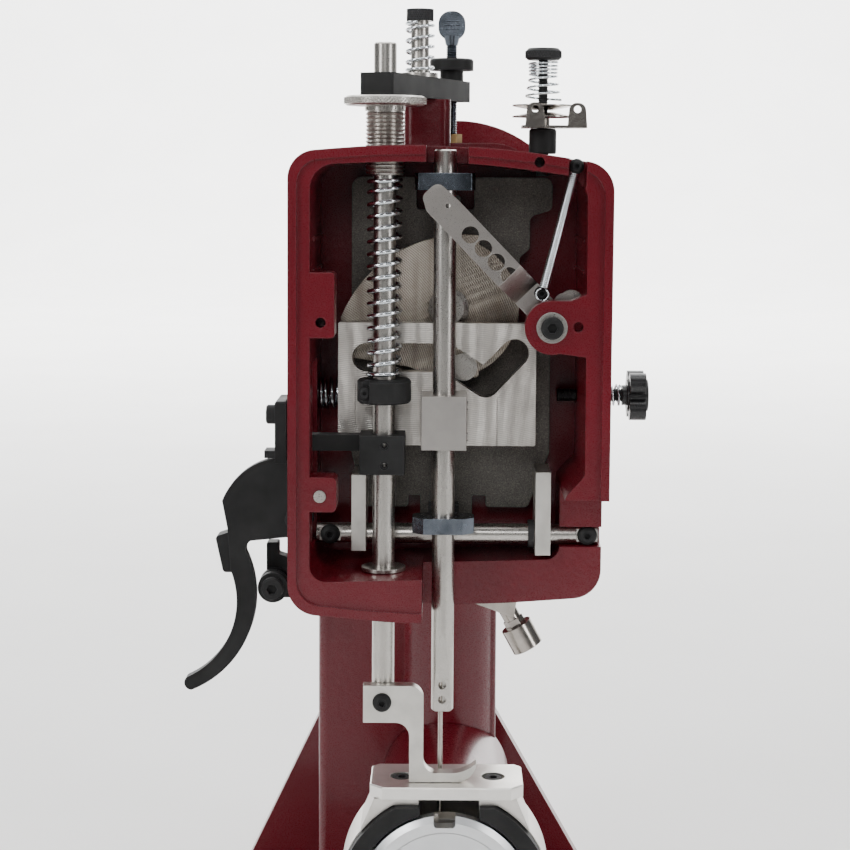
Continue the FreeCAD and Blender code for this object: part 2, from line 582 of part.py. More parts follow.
def presser_foot():
    y0, y1 = -12.0, -4.0
    profile = [V(-44.9, y0, 240.6), V(-18.8, y0, 240.6), V(-10.6, y0, 232.4), V(-10.6, y0, 197.5),
               V(-2.0, y0, 190.2), V(6.5, y0, 190.0), V(19.9, y0, 196.0), V(19.9, y0, 194.0),
               V(7.0, y0, 184.8), V(-18.6, y0, 184.8), V(-18.6, y0, 211.2), V(-26.6, y0, 219.2),
               V(-44.9, y0, 219.2)]
    edges = [Part.LineSegment(profile[0], profile[1]).toShape(),
             Part.Arc(profile[1], V(-13.0, y0, 238.2), profile[2]).toShape(),
             Part.LineSegment(profile[2], profile[3]).toShape(),
             Part.Arc(profile[3], V(-8.4, y0, 192.2), profile[4]).toShape(),
             Part.LineSegment(profile[4], profile[5]).toShape(),
             Part.Arc(profile[5], V(14.0, y0, 192.0), profile[6]).toShape(),
             Part.LineSegment(profile[6], profile[7]).toShape(),
             Part.Arc(profile[7], V(15.4, y0, 187.4), profile[8]).toShape(),
             Part.LineSegment(profile[8], profile[9]).toShape(),
             Part.LineSegment(profile[9], profile[10]).toShape(),
             Part.Arc(profile[10], V(-20.9, y0, 216.9), profile[11]).toShape(),
             Part.LineSegment(profile[11], profile[12]).toShape(),
             Part.LineSegment(profile[12], profile[0]).toShape()]
    foot = Part.Face(Part.Wire(edges)).extrude(V(0, y1 - y0, 0))
    return foot.cut(rod(2.6, (-34.2, y0 - 1, 231), AY, 10))


def foot_screw():
    return button_screw(5.4, 3.4, 2.6, 8.0, -34.2, -12, 231, AY * -1)


def pressure_adjuster():
    """Threaded bush with its dimpled collar and knurled disc."""
    body = threaded(11.1, 2.2, 36.0, PRESS_X, 0, 530.0, AZ)
    collar = rod(11.4, (PRESS_X, 0, 566.0), AZ, 2.8)
    disc = lathe([(0, 0), (21.6, 0), (22.8, 1.0), (22.8, 4.4), (21.6, 5.4), (0, 5.4)],
                 PRESS_X, 0, 568.8, AZ)
    body = fuse([body, collar, disc])
    for i in range(12):
        a = math.radians(30 * i)
        body = body.cut(rod(1.0, (PRESS_X + 10.6 * math.cos(a), 10.6 * math.sin(a), 567.4),
                            V(math.cos(a), math.sin(a), 0), 4))
    return body.cut(rod(BAR_R + 0.1, (PRESS_X, 0, 520), AZ, 60))


def lower_bush():
    return lathe([(BAR_R + RUN, 0), (8.9, 0), (8.9, 17.5), (12.6, 17.5), (12.6, 19.5),
                  (BAR_R + RUN, 19.5)], PRESS_X, 0, 287.7, AZ)


# ---- take-up ----------------------------------------------------------------
def take_up_lever():
    t = 3.0
    front_y = -23.0
    rear_y = -12.0
    run = V(PIVOT_X + 3.8, 0, PIVOT_Z) - V(-3.0, 0, 515.0)
    length = run.Length
    bend0, bend1 = 56.0, 70.0
    half = 8.4
    front = slab_y([(-9.4, -half + 4, 4), (-2, -half, 5), (bend0, -half, 0), (bend0, half, 0),
                    (6, half, 9), (-9.4, half - 1, 5)], front_y, front_y + t)
    ramp_pts = [V(bend0, front_y, -half), V(bend0, front_y + t, -half),
                V(bend1, rear_y + t, -half), V(bend1, rear_y, -half)]
    ramp = Part.Face(Part.makePolygon(ramp_pts + [ramp_pts[0]])).extrude(V(0, 0, 2 * half))
    rear = slab_y([(bend1, -half, 0), (length + 2, -half, 8), (length + 2, half, 8),
                   (bend1, half, 0)], rear_y, rear_y + t)
    for i in range(4):
        front = front.cut(rod(4.8, (24.5 + 10.4 * i, front_y - 1, 0), AY, t + 2))
    front = front.cut(rod(1.4, (4.4, front_y - 1, 2.0), AY, t + 2))
    body = fuse([front, ramp, rear])
    body.rotate(V(0, 0, 0), AY, math.degrees(math.atan2(-run.z, run.x)))
    body.translate(V(-3.0, 0, 515.0))
    arm = slab_y([(PIVOT_X - 8, PIVOT_Z - 8, 7), (PIVOT_X + 9, PIVOT_Z - 8, 7),
                  (79.0 - 1.0, 461.0, 6), (64.0, 466.5, 6)], rear_y, rear_y + t)
    body = fuse([body, arm])
    body = body.cut(rod(5.0 + RUN, (PIVOT_X, rear_y - 1, PIVOT_Z), AY, t + 2))
    return body


def take_up_roller():
    return ring(6.9, 2.6, (71.4, -8.6, 459.4), AY, 6.0)


def take_up_stud():
    return fuse([rod(2.6, (71.4, -9.0, 459.4), AY, 8.0), rod(4.4, (71.4, -2.4, 459.4), AY, 1.4)])


def take_up_bush():
    return ring(8.6, 5.0 + RUN, (PIVOT_X, -28.0, PIVOT_Z), AY, 15.6)


def take_up_pivot():
    shank = rod(5.0, (PIVOT_X, -24.0, PIVOT_Z), AY, 18.0)
    keeper = rod(8.0, (PIVOT_X, -8.6, PIVOT_Z), AY, 2.6)
    head = cap_screw(6.2, 4.6, 3.0, 1.0, PIVOT_X, -28.2, PIVOT_Z, AY * -1)
    neck = rod(4.9, (PIVOT_X, -28.2, PIVOT_Z), AY, 5.0)
    return fuse([shank, keeper, head, neck])


def slanted_spring(xa, za, xb, zb, y, r, wire):
    """Close-wound extension spring between two screws."""
    length = math.hypot(xb - xa, zb - za)
    body = lathe([(r - wire, 0), (r, 0), (r, length), (r - wire, length)], 0, 0, 0, AZ)
    body.rotate(V(0, 0, 0), AY, math.degrees(math.atan2(xb - xa, zb - za)))
    body.translate(V(xa, y, za))
    return body


# ---- lifter ------------------------------------------------------------------
def lifter_lever():
    y0, y1 = 18.0, 26.0
    spiral = []
    for i in range(13):
        phi = math.radians(5 + 6.0 * i)
        r = LIFT_R0 + LIFT_RATE * phi
        spiral.append(V(LIFT_X - r * math.sin(phi), y0, LIFT_Z + r * math.cos(phi)))
    curve = Part.BSplineCurve()
    curve.interpolate(spiral)
    last = spiral[-1]
    notch = V(-125.4, y0, 324.5)
    neck_l = V(-123.6, y0, 300.0)
    tip_l = V(-149.2, y0, 236.6)
    tip_r = V(-146.6, y0, 229.0)
    neck_r = V(-114.6, y0, 311.0)
    heel = V(-112.0, y0, 317.4)
    corner = V(-84.0, y0, 320.4)
    shoulder = V(-77.4, y0, 337.0)
    edges = [curve.toShape(), Part.LineSegment(last, notch).toShape(),
             Part.LineSegment(notch, neck_l).toShape(),
             Part.Arc(neck_l, V(-123.2, y0, 264.6), tip_l).toShape(),
             Part.Arc(tip_l, V(-150.6, y0, 231.8), tip_r).toShape(),
             Part.Arc(tip_r, V(-111.3, y0, 268.0), neck_r).toShape(),
             Part.Arc(neck_r, V(-114.0, y0, 315.2), heel).toShape(),
             Part.LineSegment(heel, corner).toShape(),
             Part.Arc(corner, V(-77.0, y0, 325.6), shoulder).toShape(),
             Part.LineSegment(shoulder, spiral[0]).toShape()]
    plate = Part.Face(Part.Wire(edges)).extrude(V(0, y1 - y0, 0))
    tab = slab_y([(-133, 319, 2), (-124, 322, 1), (-120, 298, 1), (-128.4, 298, 2)], y1 - 4, y1 + 9)
    body = fuse([plate, tab])
    return body.cut(rod(4.5 + RUN, (LIFT_X, y0 - 1, LIFT_Z), AY, 20))


def lifter_pivot():
    bolt = rod(4.5, (LIFT_X, 13.5, LIFT_Z), AY, 17.0)
    end = rod(4.2, (LIFT_X, 30.4, LIFT_Z), AY, 15.0)
    head = cap_screw(5.8, 4.0, 2.0, 1.0, LIFT_X, 17.6, LIFT_Z, AY * -1)
    spacer = rod(7.0, (LIFT_X, 26.4, LIFT_Z), AY, 4.5)
    return fuse([bolt, end, head, spacer])


def stop_bracket():
    """Bracket and round stop that the lifter handle rests against."""
    arm = slab_y([(-104.4, 280, 3), (-80, 280, 0), (-80, 300, 0), (-97.4, 306, 1), (-97.4, 313, 1),
                  (-104.4, 313, 1)], 36, 46)
    boss = lathe([(0, 0), (8.8, 0), (8.8, 6), (7.6, 6), (7.6, 9), (8.8, 9), (8.8, 15), (0, 15)],
                 -99.4, 36.0, 289.2, AY * -1)
    cap = cap_screw(6.6, 5.0, 3.0, 1.0, -99.4, 21.0, 289.2, AY * -1)
    return fuse([arm, boss, cap])


# ---- top of the head --------------------------------------------------------
def top_bar():
    length = 119.0
    bar = oblong_z(length / 2 - 13.0, 0, length / 2, 10.0, 1.2, 574.5, 586.9)
    bar.rotate(V(0, 0, 0), AZ, 68.2)
    bar.translate(V(PRESS_X + 0.2, 0, 0))
    holes = [rod(BAR_R + 0.4, (PRESS_X, 0, 570), AZ, 20), rod(7.2, (THUMB_X, THUMB_Y, 570), AZ, 20),
             rod(5.35, (-15.4, 45, 570), AZ, 20)]
    for tool in holes:
        bar = bar.cut(tool)
    return bar


def shoulder_bolt():
    x, y = -15.4, 45.0
    head = cap_screw(7.6, 6.6, 2.0, 1.0, x, y, 619.8, AZ)
    shank = rod(5.3, (x, y, 574.6), AZ, 45.4)
    washer = ring(10.6, 5.35, (x, y, 586.9), AZ, 2.6)
    return [fuse([head, shank]), washer]


def thumb_screw():
    x, y = THUMB_X, THUMB_Y
    stem = threaded(3.5, 1.4, 68.6, x, y, 541.0, AZ)
    blade = slab_y([(-8.2, 612, 7), (8.2, 612, 7), (8.2, 629.4, 7.5), (-8.2, 629.4, 7.5)], -1.6, 1.6)
    blade.translate(V(x, y, 0))
    neck = cone(3.6, 5.2, (x, y, 608.6), AZ, 6.0)
    return fuse([stem, blade, neck])


def thumb_bush():
    body = lathe([(3.6, 0), (7.1, 0), (7.1, 19.0), (13.3, 19.0), (13.3, 25.0), (12.4, 26.0),
                  (3.6, 26.0)], THUMB_X, THUMB_Y, 574.5, AZ)
    return body


def brass_nut():
    body = hex_prism(6.6, 5.6, THUMB_X, THUMB_Y, ARM_TOP, AZ)
    return body.cut(rod(3.55, (THUMB_X, THUMB_Y, 540), AZ, 20))


# ---- thread tension ----------------------------------------------------------
def tension_base():
    body = lathe([(0, 0), (7.2, 0), (7.8, 0.8), (7.8, 13.2), (7.0, 14.2), (0, 14.2)],
                 TENSION_X, TENSION_Y, 542.5, AZ)
    stem = threaded(2.9, 1.2, 44.0, TENSION_X, TENSION_Y, 556.6, AZ)
    stub = rod(3.5, (TENSION_X, TENSION_Y, 530), AZ, 12.6)
    return fuse([body, stem, stub])


def tension_guide():
    strip = box(TENSION_X - 12, TENSION_X + 24, TENSION_Y - 13.4, TENSION_Y + 8, 556.9, 558.5)
    ears = []
    for x, y in ((TENSION_X - 5.2, TENSION_Y - 20.0), (TENSION_X + 18.8, TENSION_Y - 13.4)):
        ear = slab_y([(x - 5.6, 556.9, 0.5), (x + 5.6, 556.9, 0.5), (x + 4.4, 571.0, 4.2),
                      (x - 4.4, 571.0, 4.2)], y, y + 1.6)
        ears.append(ear.cut(rod(2.0, (x, y - 1, 567.4), AY, 4)))
    lip = box(TENSION_X - 10.8, TENSION_X + 0.4, TENSION_Y - 20.0, TENSION_Y - 7.0, 556.9, 558.5)
    body = fuse([strip, lip] + ears)
    body = fuse([body, rod(3.9, (TENSION_X, TENSION_Y, 558.4), AZ, 4.2)])
    return body.cut(rod(3.0, (TENSION_X, TENSION_Y, 550), AZ, 20))


def tension_discs():
    low = [(3.0, 0), (6, 0), (17.4, 2.2), (17.4, 3.0), (6, 0.9), (3.0, 0.9)]
    discs = []
    for turn, lift in ((1, 3.4), (-1, 4.5)):
        profile = [(r, lift - turn * h) for r, h in low]
        discs.append(lathe(profile, TENSION_X, TENSION_Y, 562.7, AZ))
    return discs


def tension_knob():
    body = lathe([(3.0, 0), (8.8, 0), (10.1, 1.2), (10.1, 5.0), (8.4, 6.6), (0, 6.6), (0, 5.4),
                  (3.0, 5.4)], TENSION_X, TENSION_Y, 595.4, AZ)
    return body


# ---- stitch length -----------------------------------------------------------
def stitch_knob():
    """Four-lobed knob on its threaded stem."""
    lobes = []
    for i in range(4):
        a = math.radians(45 + 90 * i)
        lobes.append(rod(6.4, (109.4, KNOB_Y + 10.6 * math.cos(a), KNOB_Z + 10.6 * math.sin(a)),
                         AX, 9.6))
    hub = rod(6.0, (105.6, KNOB_Y, KNOB_Z), AX, 4.0)
    core = rod(9.4, (108.4, KNOB_Y, KNOB_Z), AX, 12.4)
    stem = threaded(4.0, 1.4, 40.6, 67.0, KNOB_Y, KNOB_Z, AX)
    return fuse(lobes + [hub, core, stem])


def lying_spring(r, wire, pitch, turns, x):
    """Coil spring round the stitch length stem, bent in short straight lengths."""
    points = []
    for i in range(int(turns * 20) + 1):
        a = 2 * math.pi * i / 20
        along = x + wire / 2 + pitch * i / 20
        points.append(V(along, KNOB_Y + r * math.cos(a), KNOB_Z + r * math.sin(a)))
    section = Part.Wire(Part.makeCircle(wire / 2, points[0], points[1] - points[0]))
    return Part.makePolygon(points).makePipeShell([section], True, False, 1)


# ---- fitting under the head, bearings and hand lever -------------------------
def thread_cup():
    """Oil cup that the thread runs through, on its bracket under the head."""
    wedge = slab_y([(12, 279.4, 0), (44, 280.8, 0), (42, 268, 1), (30, 273, 1)], 36, 50)
    axis = V(0.48, 0, -0.88)
    axis.normalize()
    start = V(38.6, 43.0, 272.0)
    body = rod(5.2, (start.x, start.y, start.z), axis, 7.0)
    bracket = fuse([wedge, body])
    nut_at = start + axis * 6.2
    nut = hex_prism(6.2, 5.0, nut_at.x, nut_at.y, nut_at.z, axis)
    cup_at = start + axis * 10.6
    cup = rod(9.4, (cup_at.x, cup_at.y, cup_at.z), axis, 15.0)
    return [bracket, fuse([nut, cup]).cut(bracket)]


def bushes():
    """Plain bearings of the shafts and the presser bar."""
    return [ring(14.0, SHAFT_R + RUN, (SHAFT_X, 60, SHAFT_Z), AY, 18.0),
            ring(14.0, SHAFT_R + RUN, (SHAFT_X, 188, SHAFT_Z), AY, 12.0),
            ring(13.0, LOWER_R + RUN, (SHAFT_X, 30, LOWER_Z), AY, 10.0),
            ring(13.0, LOWER_R + RUN, (SHAFT_X, 185, LOWER_Z), AY, 12.0),
            ring(11.0, 7.0 + RUN, (SHAFT_X, UPRIGHT_Y, 150), AZ, 8.0),
            ring(11.0, 7.0 + RUN, (SHAFT_X, UPRIGHT_Y, 400), AZ, 8.0),
            ring(11.0, 10.0 + RUN, (78, LEVER_Y, SHAFT_Z), AX, 11.4),
            lower_bush()]


def hand_lever():
    hub = ring(20.0, 10.0, (92.0, LEVER_Y, SHAFT_Z), AX, 18.0)
    arm = box(95.0, 107.0, 14.0, LEVER_LEN, -11.0, 11.0)
    tip = rod(11.0, (95.0, LEVER_LEN, 0), AX, 12.0)
    arm = fuse([arm, tip]).cut(rod(5.0, (90.0, LEVER_LEN, 0), AX, 20.0))
    arm.rotate(V(0, 0, 0), AX, -8.0)
    arm.translate(V(0, LEVER_Y, SHAFT_Z))
    return fuse([hub, arm]).cut(rod(10.0, (80, LEVER_Y, SHAFT_Z), AX, 40))


def lever_end():
    a = math.radians(-8.0)
    return LEVER_Y + LEVER_LEN * math.cos(a), SHAFT_Z + LEVER_LEN * math.sin(a)


def lever_shaft():
    x_gear = SHAFT_X + PINION_R
    shaft = rod(10.0, (x_gear, LEVER_Y, SHAFT_Z), AX, 112.0 - x_gear)
    gear = bevel_gear(SECTOR_R - 0.4, 3.2, SECTOR_R / PINION_R, 34,
                      x_gear, LEVER_Y, SHAFT_Z, AX * -1)
    disc = ring(SECTOR_R - 3.0, 10.0, (x_gear, LEVER_Y, SHAFT_Z), AX, 7.0)
    return [shaft, gear, disc]


def lever_grip():
    """Turned grip that lies across the end of the lever."""
    y, z = lever_end()
    profile = [(0, 0), (9, 0), (12.5, 4), (14.5, 30), (14, 62), (11.5, 84), (8, 92), (0, 94)]
    return [lathe(profile, 0.5, y, z, AX), rod(5.0, (94.5, y, z), AX, 17.0)]


def build():
    feed_bars = [side_bar(-53.1, -44.8, 313, 357.4), side_bar(53.2, 62.0, 311, 359.4)]
    guides = [bar_guide(521.8, 531.4, 15.0, 17.0), bar_guide(327.4, 336.4, 11.0, 17.6)]
    block = [clamp_block()] + [set_screw(2.4, 1.1, 13.9, 3.0, z, AX) for z in (399.4, 381.4)]
    pins = [take_up_bush(), rod(3.4, (-68.6, -29.0, 351.9), AY, 12.0)]
    springs = [lying_spring(5.9, 1.3, 3.4, 3.2, 92.9), lying_spring(9.0, 2.0, 3.6, 3.4, -74.1)]
    return {
        "base_plate": [base_plate()], "frame_casting": [frame_casting()],
        "rear_cover": [rear_cover()], "head_housing": [head_housing()],
        "cylinder_arm": [cylinder_arm()], "arm_end_casing": [arm_end_casing()],
        "race_ring": [race_ring()], "bobbin_cover": [bobbin_cover()],
        "shuttle_hook": [shuttle_hook()], "bobbin": [bobbin()], "needle_plate": [needle_plate()],
        "needle_plate_screws": plate_screws(), "main_shaft": main_shaft(),
        "lower_shaft": lower_shaft(), "upright_shaft": upright_shaft(), "drive_cam": [drive_cam()],
        "crank_pin": crank_pin(), "cam_plate": [cam_plate()], "needle_bar": [needle_bar()],
        "needle": [needle()], "clamp_block": block, "bar_guides": guides,
        "feed_cradle": [feed_cradle()], "feed_bars": feed_bars, "feed_rod": [feed_rod()],
        "feed_bumper": [feed_bumper()], "head_screws": head_screws(), "head_pins": pins,
        "presser_bar": [presser_bar()], "presser_collar": [presser_collar()],
        "presser_spring": [helix_spring(9.0, 2.4, 6.95, 16.0, PRESS_X, 0, 415.3)],
        "lift_bracket": [lift_bracket()], "presser_screws": presser_screws(),
        "slide_strap": [slide_strap()], "presser_foot": [presser_foot()],
        "pressure_adjuster": [pressure_adjuster()], "bushes": bushes(),
        "take_up_lever": [take_up_lever()], "take_up_roller": [take_up_roller(), take_up_stud()],
        "spring_lever_screw": [button_screw(4.2, 4.0, 2.2, 3.0, 54.2, -12.2, 464.6, AY * -1)],
        "take_up_spring": [slanted_spring(55.2, 468.6, 71.6, 531.2, -17.5, 2.5, 1.1)],
        "lifter_lever": [lifter_lever()], "lifter_fittings": [lifter_pivot(), stop_bracket()],
        "top_bar": [top_bar()], "shoulder_bolt": shoulder_bolt(),
        "shoulder_spring": [helix_spring(7.7, 1.9, 5.6, 5.0, -15.4, 45.0, 589.6)],
        "thumb_screw": [thumb_screw()], "thumb_bush": [thumb_bush()], "brass_nut": [brass_nut()],
        "tension_stem": [tension_base()], "tension_guide": [tension_guide()],
        "tension_discs": tension_discs(), "tension_knob": [tension_knob()],
        "tension_spring": [helix_spring(8.6, 1.6, 4.0, 5.2, TENSION_X, TENSION_Y, 572.4)],
        "stitch_knob": [stitch_knob()], "feed_springs": springs, "thread_cup": thread_cup(),
        "hand_lever": [hand_lever()], "lever_shaft": lever_shaft(), "lever_grip": lever_grip(),
    }


for name, solids in build().items():
    shape = solids[0] if len(solids) == 1 else Part.makeCompound(solids)
    shape.exportStep("parts/" + name + ".step")
    count = len(shape.Solids)
    if not shape.isValid() or count != len(solids):
        print("CHECK", name, "valid", shape.isValid(), "solids", count)
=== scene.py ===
import json
import math
import bmesh
import bpy
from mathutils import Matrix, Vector


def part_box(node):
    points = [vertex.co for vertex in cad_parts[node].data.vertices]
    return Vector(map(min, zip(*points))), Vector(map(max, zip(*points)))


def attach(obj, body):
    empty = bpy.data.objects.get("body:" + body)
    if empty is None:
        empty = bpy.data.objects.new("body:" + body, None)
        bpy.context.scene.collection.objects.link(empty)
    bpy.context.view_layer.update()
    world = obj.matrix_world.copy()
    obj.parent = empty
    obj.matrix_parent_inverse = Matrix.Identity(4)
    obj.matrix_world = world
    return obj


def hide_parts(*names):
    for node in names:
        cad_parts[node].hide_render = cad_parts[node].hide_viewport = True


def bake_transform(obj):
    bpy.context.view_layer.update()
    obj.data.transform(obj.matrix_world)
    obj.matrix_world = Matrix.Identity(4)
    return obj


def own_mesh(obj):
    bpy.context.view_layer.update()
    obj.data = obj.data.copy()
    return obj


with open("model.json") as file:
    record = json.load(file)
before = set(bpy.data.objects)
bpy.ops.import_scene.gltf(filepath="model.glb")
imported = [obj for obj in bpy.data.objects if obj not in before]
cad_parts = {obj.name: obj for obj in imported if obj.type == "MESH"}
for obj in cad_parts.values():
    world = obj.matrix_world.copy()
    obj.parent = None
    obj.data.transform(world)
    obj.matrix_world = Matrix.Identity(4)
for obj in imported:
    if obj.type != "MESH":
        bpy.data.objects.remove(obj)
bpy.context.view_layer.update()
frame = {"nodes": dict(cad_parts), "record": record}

UP = Vector((0.0, 0.0, 1.0))
ALONG_X = Vector((1.0, 0.0, 0.0))


# ---- node helpers ---------------------------------------------------------
# The Mix node repeats its socket names, so its colour sockets go by place.
MIX_FACTOR, MIX_FIRST, MIX_SECOND, MIX_RESULT = 0, 6, 7, 2
BEVEL_SAMPLES = 4


def new_material(name):
    mat = bpy.data.materials.new(name)
    mat.use_nodes = True
    tree = mat.node_tree
    return mat, tree, tree.nodes["Principled BSDF"]


def set_inputs(node, values):
    for socket, value in values.items():
        node.inputs[socket].default_value = value


def add(tree, kind, values=None):
    item = tree.nodes.new(kind)
    set_inputs(item, values or {})
    return item


def object_coords(tree, scale=(1, 1, 1), place=(0, 0, 0)):
    coords = add(tree, "ShaderNodeTexCoord")
    mapping = add(tree, "ShaderNodeMapping", {"Scale": scale, "Location": place})
    tree.links.new(coords.outputs["Object"], mapping.inputs["Vector"])
    return mapping.outputs["Vector"]


def noise(tree, vector, scale, detail=3.0, rough=0.55):
    item = add(tree, "ShaderNodeTexNoise", {"Scale": scale, "Detail": detail, "Roughness": rough})
    tree.links.new(vector, item.inputs["Vector"])
    return item.outputs["Fac"]


def ramp(tree, fac, stops):
    item = add(tree, "ShaderNodeValToRGB")
    elements = item.color_ramp.elements
    while len(elements) < len(stops):
        elements.new(0.5)
    for element, (place, colour) in zip(elements, stops):
        element.position = place
        element.color = (*colour, 1.0)
    tree.links.new(fac, item.inputs["Fac"])
    return item.outputs["Color"]


def remap(tree, fac, low, high, to_low, to_high):
    item = add(tree, "ShaderNodeMapRange", {"From Min": low, "From Max": high,
                                            "To Min": to_low, "To Max": to_high})
    tree.links.new(fac, item.inputs["Value"])
    return item.outputs["Result"]


def mix_colour(tree, fac, first, second, blend="MIX"):
    """Mix of two colours or colour sockets, by a number or a socket."""
    item = add(tree, "ShaderNodeMix")
    item.data_type = "RGBA"
    item.blend_type = blend
    for place, value in ((MIX_FIRST, first), (MIX_SECOND, second)):
        if isinstance(value, tuple):
            item.inputs[place].default_value = (*value, 1.0)
        else:
            tree.links.new(value, item.inputs[place])
    if isinstance(fac, float):
        item.inputs[MIX_FACTOR].default_value = fac
    else:
        tree.links.new(fac, item.inputs[MIX_FACTOR])
    return item.outputs[MIX_RESULT]


def rounded_normal(tree, radius):
    bevel = add(tree, "ShaderNodeBevel", {"Radius": radius})
    bevel.samples = BEVEL_SAMPLES
    return bevel.outputs["Normal"]


def bump_chain(tree, shader, layers, edge=0.0004):
    """Bevelled normal with bump layers of (height, strength, distance) on it."""
    normal = rounded_normal(tree, edge)
    for height, strength, distance in layers:
        item = add(tree, "ShaderNodeBump", {"Strength": strength, "Distance": distance})
        tree.links.new(height, item.inputs["Height"])
        tree.links.new(normal, item.inputs["Normal"])
        normal = item.outputs["Normal"]
    tree.links.new(normal, shader.inputs["Normal"])


def edge_mask(tree, radius):
    """White within a radius of sharp edges, where the bevelled normal leaves the flat one."""
    bevelled = rounded_normal(tree, radius)
    geometry = add(tree, "ShaderNodeNewGeometry")
    dot = add(tree, "ShaderNodeVectorMath")
    dot.operation = "DOT_PRODUCT"
    tree.links.new(bevelled, dot.inputs[0])
    tree.links.new(geometry.outputs["Normal"], dot.inputs[1])
    return remap(tree, dot.outputs["Value"], 0.985, 0.90, 0.0, 1.0)


# ---- materials ------------------------------------------------------------
def red_paint():
    """Glossy burgundy with a fine orange peel and a little pale dust."""
    mat, tree, shader = new_material("burgundy_paint")
    deep, warm, dusty = (0.088, 0.0018, 0.0066), (0.112, 0.0026, 0.0090), (0.26, 0.09, 0.10)
    even = object_coords(tree)
    peel = noise(tree, even, 330.0, 2.0)
    fine = noise(tree, even, 1500.0, 2.0)
    cloud = noise(tree, even, 14.0, 4.0)
    dust = noise(tree, even, 2600.0, 2.0)
    body = ramp(tree, cloud, [(0.3, deep), (0.7, warm)])
    speck = remap(tree, dust, 0.70, 0.76, 0.0, 0.35)
    tree.links.new(mix_colour(tree, speck, body, dusty), shader.inputs["Base Color"])
    tree.links.new(remap(tree, fine, 0.3, 0.7, 0.24, 0.34), shader.inputs["Roughness"])
    set_inputs(shader, {"Coat Weight": 0.24, "Coat Roughness": 0.09, "Specular IOR Level": 0.32})
    bump_chain(tree, shader, [(peel, 0.35, 0.0006), (fine, 0.10, 0.0002)], 0.0012)
    return mat


def steel(name, colour, rough, grain, bump, spots=0.12, marks=0.3):
    """Bare metal whose grain runs the way that the stretched noise does."""
    mat, tree, shader = new_material(name)
    lines = noise(tree, object_coords(tree, grain), 1.0, 5.0, 0.7)
    cloud = noise(tree, object_coords(tree), 55.0, 4.0)
    dark = tuple(c * (1.0 - spots * 2.2) for c in colour)
    light = tuple(min(1.0, c * (1.0 + spots)) for c in colour)
    base = ramp(tree, cloud, [(0.30, dark), (0.55, colour), (0.78, light)])
    scratch = remap(tree, lines, 0.56, 0.74, 0.0, marks)
    tree.links.new(mix_colour(tree, scratch, base, light), shader.inputs["Base Color"])
    tree.links.new(remap(tree, lines, 0.3, 0.7, rough - 0.05, rough + 0.06),
                   shader.inputs["Roughness"])
    set_inputs(shader, {"Metallic": 1.0})
    bump_chain(tree, shader, [(lines, bump, 0.0002)])
    return mat


def cutter_arcs(tree, place):
    """Rings left by a fly cutter, about the Y axis through the opposite of place."""
    wave = add(tree, "ShaderNodeTexWave", {"Scale": 260.0, "Distortion": 1.2, "Detail": 2.0,
                                           "Detail Scale": 2.0})
    wave.wave_type = "RINGS"
    wave.rings_direction = "Y"
    tree.links.new(object_coords(tree, place=place), wave.inputs["Vector"])
    return wave.outputs["Fac"]


def fly_cut_steel(name, places, dark, light, marks, bump):
    """Milled face with sets of arcs, each about its own centre."""
    mat, tree, shader = new_material(name)
    heights = [cutter_arcs(tree, place) for place in places]
    cloud = noise(tree, object_coords(tree), 38.0, 4.0)
    streak = noise(tree, object_coords(tree, (130, 900, 8)), 1.0, 3.0)
    base = ramp(tree, cloud, [(0.3, dark), (0.7, light)])
    lines = remap(tree, heights[0], 0.0, 0.3, marks, 0.0)
    shade = mix_colour(tree, lines, base, tuple(c * 0.45 for c in dark))
    band = remap(tree, streak, 0.50, 0.66, 0.0, 0.45)
    tree.links.new(mix_colour(tree, band, shade, tuple(c * 0.75 for c in dark)),
                   shader.inputs["Base Color"])
    tree.links.new(remap(tree, streak, 0.3, 0.7, 0.30, 0.48), shader.inputs["Roughness"])
    set_inputs(shader, {"Metallic": 1.0})
    bump_chain(tree, shader, [(height, bump, 0.0002) for height in heights])
    return mat


def black_oxide():
    """Blackened steel, a little paler where its edges are worn."""
    mat, tree, shader = new_material("black_oxide")
    dark, light, worn_colour = (0.010, 0.010, 0.010), (0.022, 0.022, 0.022), (0.045, 0.045, 0.048)
    even = object_coords(tree)
    cloud = noise(tree, even, 45.0, 5.0)
    grain = noise(tree, even, 2400.0, 3.0)
    base = ramp(tree, cloud, [(0.3, dark), (0.75, light)])
    worn = edge_mask(tree, 0.0005)
    tree.links.new(mix_colour(tree, worn, base, worn_colour), shader.inputs["Base Color"])
    tree.links.new(remap(tree, cloud, 0.3, 0.7, 0.48, 0.64), shader.inputs["Roughness"])
    set_inputs(shader, {"Specular IOR Level": 0.18})
    bump_chain(tree, shader, [(grain, 0.18, 0.0001)])
    return mat


def sand_cast():
    """Unpainted grey casting with bright grit."""
    mat, tree, shader = new_material("sand_cast_iron")
    pit, skin, grit_tip = (0.075, 0.070, 0.063), (0.18, 0.168, 0.15), (0.40, 0.375, 0.34)
    even = object_coords(tree)
    grit = noise(tree, even, 1300.0, 3.0, 0.7)
    cloud = noise(tree, even, 40.0, 4.0)
    base = ramp(tree, grit, [(0.35, pit), (0.6, skin), (0.78, grit_tip)])
    shade = ramp(tree, cloud, [(0.3, (0.7, 0.7, 0.7)), (0.7, (1.0, 1.0, 1.0))])
    tree.links.new(mix_colour(tree, 1.0, base, shade, "MULTIPLY"), shader.inputs["Base Color"])
    tree.links.new(remap(tree, grit, 0.3, 0.7, 0.5, 0.8), shader.inputs["Roughness"])
    set_inputs(shader, {"Metallic": 0.4})
    bump_chain(tree, shader, [(grit, 0.5, 0.0003)], 0.001)
    return mat


